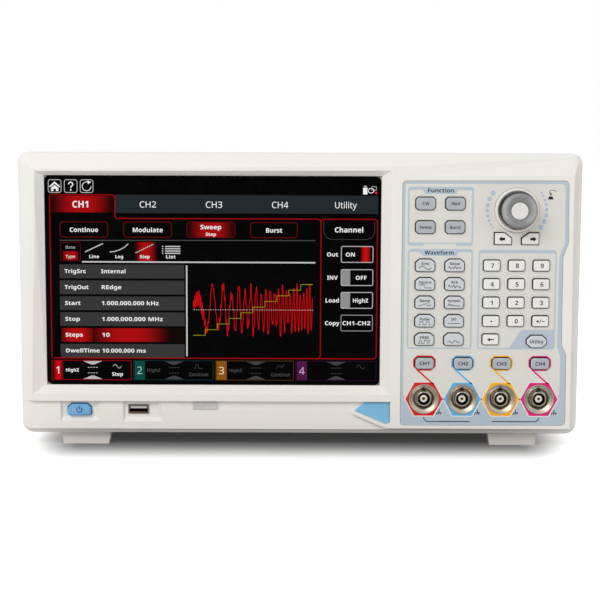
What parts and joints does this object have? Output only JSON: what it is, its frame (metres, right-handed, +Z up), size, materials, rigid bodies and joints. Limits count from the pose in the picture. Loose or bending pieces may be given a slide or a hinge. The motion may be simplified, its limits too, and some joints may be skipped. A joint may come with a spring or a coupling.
{
  "type": "function generator",
  "caption": "Bench waveform generator: wide box with a touch screen, keypad, knob, row of coaxial outputs, fold-flat handle and tilt legs.",
  "frame": {"origin": "centre of the bounding box's footprint, at the soles of the feet", "axes": "+X to the right as seen from the front, -Y out of the front panel, +Z up"},
  "size_m": [0.37, 0.137, 0.195],
  "materials": {
    "shell": "fine satin texture, warm off-white",
    "overlay": "printed film, satin",
    "black_glass": "glossy, opaque black behind a lit display",
    "display_metal": "satin",
    "keys_blue_grey": "satin, blue grey",
    "keys_light_grey": "satin, light grey",
    "keys_white": "satin, near white",
    "button_blue": "satin, light blue",
    "knob_grey": "satin grey with a white centre disc",
    "shaft_metal": "turned",
    "nickel": "turned nickel plate",
    "rubber_mat": "matt silicone",
    "circuit_board": "solder mask",
    "black_plastic": "moulded",
    "foot_rubber": "matt",
    "trim_grey": "satin, warm grey"
  },
  "bodies": {
    "case": {"front_bezel": "shell", "rear_case": "shell", "panel_overlay": "overlay", "touch_glass": "black_glass", "lcd_module": "display_metal", "keypad_mat": "rubber_mat", "key_board": "circuit_board", "main_board": "circuit_board", "power_supply": "circuit_board", "fan_frame": "black_plastic", "bnc_ch1": "nickel", "bnc_ch2": "nickel", "bnc_ch3": "nickel", "bnc_ch4": "nickel", "usb_port": "nickel", "power_inlet": "black_plastic", "rear_foot_left": "foot_rubber", "rear_foot_right": "foot_rubber"},
    "key_cw": {"key_cw": "keys_blue_grey"},
    "key_mod": {"key_mod": "keys_blue_grey"},
    "key_sweep": {"key_sweep": "keys_blue_grey"},
    "key_burst": {"key_burst": "keys_blue_grey"},
    "key_sine": {"key_sine": "keys_light_grey"},
    "key_noise": {"key_noise": "keys_light_grey"},
    "key_square": {"key_square": "keys_light_grey"},
    "key_arb": {"key_arb": "keys_light_grey"},
    "key_ramp": {"key_ramp": "keys_light_grey"},
    "key_harmonic": {"key_harmonic": "keys_light_grey"},
    "key_pulse": {"key_pulse": "keys_light_grey"},
    "key_dc": {"key_dc": "keys_light_grey"},
    "key_prbs": {"key_prbs": "keys_light_grey"},
    "key_user": {"key_user": "keys_light_grey"},
    "key_7": {"key_7": "keys_white"},
    "key_8": {"key_8": "keys_white"},
    "key_9": {"key_9": "keys_white"},
    "key_4": {"key_4": "keys_white"},
    "key_5": {"key_5": "keys_white"},
    "key_6": {"key_6": "keys_white"},
    "key_1": {"key_1": "keys_white"},
    "key_2": {"key_2": "keys_white"},
    "key_3": {"key_3": "keys_white"},
    "key_point": {"key_point": "keys_white"},
    "key_0": {"key_0": "keys_white"},
    "key_sign": {"key_sign": "keys_white"},
    "key_back": {"key_back": "keys_white"},
    "key_arrow_left": {"key_arrow_left": "keys_white"},
    "key_arrow_right": {"key_arrow_right": "keys_white"},
    "key_utility": {"key_utility": "keys_light_grey"},
    "key_ch1": {"key_ch1": "keys_blue_grey"},
    "key_ch2": {"key_ch2": "keys_blue_grey"},
    "key_ch3": {"key_ch3": "keys_blue_grey"},
    "key_ch4": {"key_ch4": "keys_blue_grey"},
    "power_button": {"power_button": "button_blue"},
    "encoder_shaft": {"encoder_shaft": "shaft_metal"},
    "knob": {"knob": "knob_grey"},
    "carry_handle": {"carry_handle": "trim_grey"},
    "tilt_leg_left": {"tilt_leg_left": "trim_grey"},
    "tilt_leg_right": {"tilt_leg_right": "trim_grey"},
    "mains_switch": {"mains_switch": "black_plastic"},
    "fan_rotor": {"fan_rotor": "black_plastic"}
  },
  "joints": [
    {"name": "key_cw_press", "type": "slide", "parent": "case", "child": "key_cw", "axis": [0, 1, 0], "range_m": [0, 0.0008], "stiffness_N_per_m": 600},
    {"name": "key_mod_press", "type": "slide", "parent": "case", "child": "key_mod", "axis": [0, 1, 0], "range_m": [0, 0.0008], "stiffness_N_per_m": 600},
    {"name": "key_sweep_press", "type": "slide", "parent": "case", "child": "key_sweep", "axis": [0, 1, 0], "range_m": [0, 0.0008], "stiffness_N_per_m": 600},
    {"name": "key_burst_press", "type": "slide", "parent": "case", "child": "key_burst", "axis": [0, 1, 0], "range_m": [0, 0.0008], "stiffness_N_per_m": 600},
    {"name": "key_sine_press", "type": "slide", "parent": "case", "child": "key_sine", "axis": [0, 1, 0], "range_m": [0, 0.0008], "stiffness_N_per_m": 600},
    {"name": "key_noise_press", "type": "slide", "parent": "case", "child": "key_noise", "axis": [0, 1, 0], "range_m": [0, 0.0008], "stiffness_N_per_m": 600},
    {"name": "key_square_press", "type": "slide", "parent": "case", "child": "key_square", "axis": [0, 1, 0], "range_m": [0, 0.0008], "stiffness_N_per_m": 600},
    {"name": "key_arb_press", "type": "slide", "parent": "case", "child": "key_arb", "axis": [0, 1, 0], "range_m": [0, 0.0008], "stiffness_N_per_m": 600},
    {"name": "key_ramp_press", "type": "slide", "parent": "case", "child": "key_ramp", "axis": [0, 1, 0], "range_m": [0, 0.0008], "stiffness_N_per_m": 600},
    {"name": "key_harmonic_press", "type": "slide", "parent": "case", "child": "key_harmonic", "axis": [0, 1, 0], "range_m": [0, 0.0008], "stiffness_N_per_m": 600},
    {"name": "key_pulse_press", "type": "slide", "parent": "case", "child": "key_pulse", "axis": [0, 1, 0], "range_m": [0, 0.0008], "stiffness_N_per_m": 600},
    {"name": "key_dc_press", "type": "slide", "parent": "case", "child": "key_dc", "axis": [0, 1, 0], "range_m": [0, 0.0008], "stiffness_N_per_m": 600},
    {"name": "key_prbs_press", "type": "slide", "parent": "case", "child": "key_prbs", "axis": [0, 1, 0], "range_m": [0, 0.0008], "stiffness_N_per_m": 600},
    {"name": "key_user_press", "type": "slide", "parent": "case", "child": "key_user", "axis": [0, 1, 0], "range_m": [0, 0.0008], "stiffness_N_per_m": 600},
    {"name": "key_7_press", "type": "slide", "parent": "case", "child": "key_7", "axis": [0, 1, 0], "range_m": [0, 0.0008], "stiffness_N_per_m": 600},
    {"name": "key_8_press", "type": "slide", "parent": "case", "child": "key_8", "axis": [0, 1, 0], "range_m": [0, 0.0008], "stiffness_N_per_m": 600},
    {"name": "key_9_press", "type": "slide", "parent": "case", "child": "key_9", "axis": [0, 1, 0], "range_m": [0, 0.0008], "stiffness_N_per_m": 600},
    {"name": "key_4_press", "type": "slide", "parent": "case", "child": "key_4", "axis": [0, 1, 0], "range_m": [0, 0.0008], "stiffness_N_per_m": 600},
    {"name": "key_5_press", "type": "slide", "parent": "case", "child": "key_5", "axis": [0, 1, 0], "range_m": [0, 0.0008], "stiffness_N_per_m": 600},
    {"name": "key_6_press", "type": "slide", "parent": "case", "child": "key_6", "axis": [0, 1, 0], "range_m": [0, 0.0008], "stiffness_N_per_m": 600},
    {"name": "key_1_press", "type": "slide", "parent": "case", "child": "key_1", "axis": [0, 1, 0], "range_m": [0, 0.0008], "stiffness_N_per_m": 600},
    {"name": "key_2_press", "type": "slide", "parent": "case", "child": "key_2", "axis": [0, 1, 0], "range_m": [0, 0.0008], "stiffness_N_per_m": 600},
    {"name": "key_3_press", "type": "slide", "parent": "case", "child": "key_3", "axis": [0, 1, 0], "range_m": [0, 0.0008], "stiffness_N_per_m": 600},
    {"name": "key_point_press", "type": "slide", "parent": "case", "child": "key_point", "axis": [0, 1, 0], "range_m": [0, 0.0008], "stiffness_N_per_m": 600},
    {"name": "key_0_press", "type": "slide", "parent": "case", "child": "key_0", "axis": [0, 1, 0], "range_m": [0, 0.0008], "stiffness_N_per_m": 600},
    {"name": "key_sign_press", "type": "slide", "parent": "case", "child": "key_sign", "axis": [0, 1, 0], "range_m": [0, 0.0008], "stiffness_N_per_m": 600},
    {"name": "key_back_press", "type": "slide", "parent": "case", "child": "key_back", "axis": [0, 1, 0], "range_m": [0, 0.0008], "stiffness_N_per_m": 600},
    {"name": "key_arrow_left_press", "type": "slide", "parent": "case", "child": "key_arrow_left", "axis": [0, 1, 0], "range_m": [0, 0.0008], "stiffness_N_per_m": 600},
    {"name": "key_arrow_right_press", "type": "slide", "parent": "case", "child": "key_arrow_right", "axis": [0, 1, 0], "range_m": [0, 0.0008], "stiffness_N_per_m": 600},
    {"name": "key_utility_press", "type": "slide", "parent": "case", "child": "key_utility", "axis": [0, 1, 0], "range_m": [0, 0.0008], "stiffness_N_per_m": 600},
    {"name": "key_ch1_press", "type": "slide", "parent": "case", "child": "key_ch1", "axis": [0, 1, 0], "range_m": [0, 0.0008], "stiffness_N_per_m": 600},
    {"name": "key_ch2_press", "type": "slide", "parent": "case", "child": "key_ch2", "axis": [0, 1, 0], "range_m": [0, 0.0008], "stiffness_N_per_m": 600},
    {"name": "key_ch3_press", "type": "slide", "parent": "case", "child": "key_ch3", "axis": [0, 1, 0], "range_m": [0, 0.0008], "stiffness_N_per_m": 600},
    {"name": "key_ch4_press", "type": "slide", "parent": "case", "child": "key_ch4", "axis": [0, 1, 0], "range_m": [0, 0.0008], "stiffness_N_per_m": 600},
    {"name": "power_button_press", "type": "slide", "parent": "case", "child": "power_button", "axis": [0, 1, 0], "range_m": [0, 0.0008], "stiffness_N_per_m": 600},
    {"name": "knob_push", "type": "slide", "parent": "case", "child": "encoder_shaft", "axis": [0, 1, 0], "range_m": [0, 0.0005], "stiffness_N_per_m": 2000},
    {"name": "knob_turn", "type": "hinge", "parent": "encoder_shaft", "child": "knob", "pos_m": [0.1415, -0.0555, 0.1582], "axis": [0, 1, 0], "continuous": true},
    {"name": "handle_lift", "type": "hinge", "parent": "case", "child": "carry_handle", "pos_m": [0, 0.0205, 0.1884], "axis": [-1, 0, 0], "range_deg": [0, 90]},
    {"name": "tilt_leg_left_fold", "type": "hinge", "parent": "case", "child": "tilt_leg_left", "pos_m": [-0.143, -0.0185, 0.0052], "axis": [-1, 0, 0], "range_deg": [0, 90]},
    {"name": "tilt_leg_right_fold", "type": "hinge", "parent": "case", "child": "tilt_leg_right", "pos_m": [0.143, -0.0185, 0.0052], "axis": [-1, 0, 0], "range_deg": [0, 90]},
    {"name": "mains_switch_rock", "type": "hinge", "parent": "case", "child": "mains_switch", "pos_m": [-0.147, 0.0609, 0.107], "axis": [0, 0, 1], "range_deg": [0, 16]},
    {"name": "fan_spin", "type": "hinge", "parent": "case", "child": "fan_rotor", "pos_m": [-0.06, 0.0475, 0.1085], "axis": [0, 1, 0], "continuous": true}
  ]
}
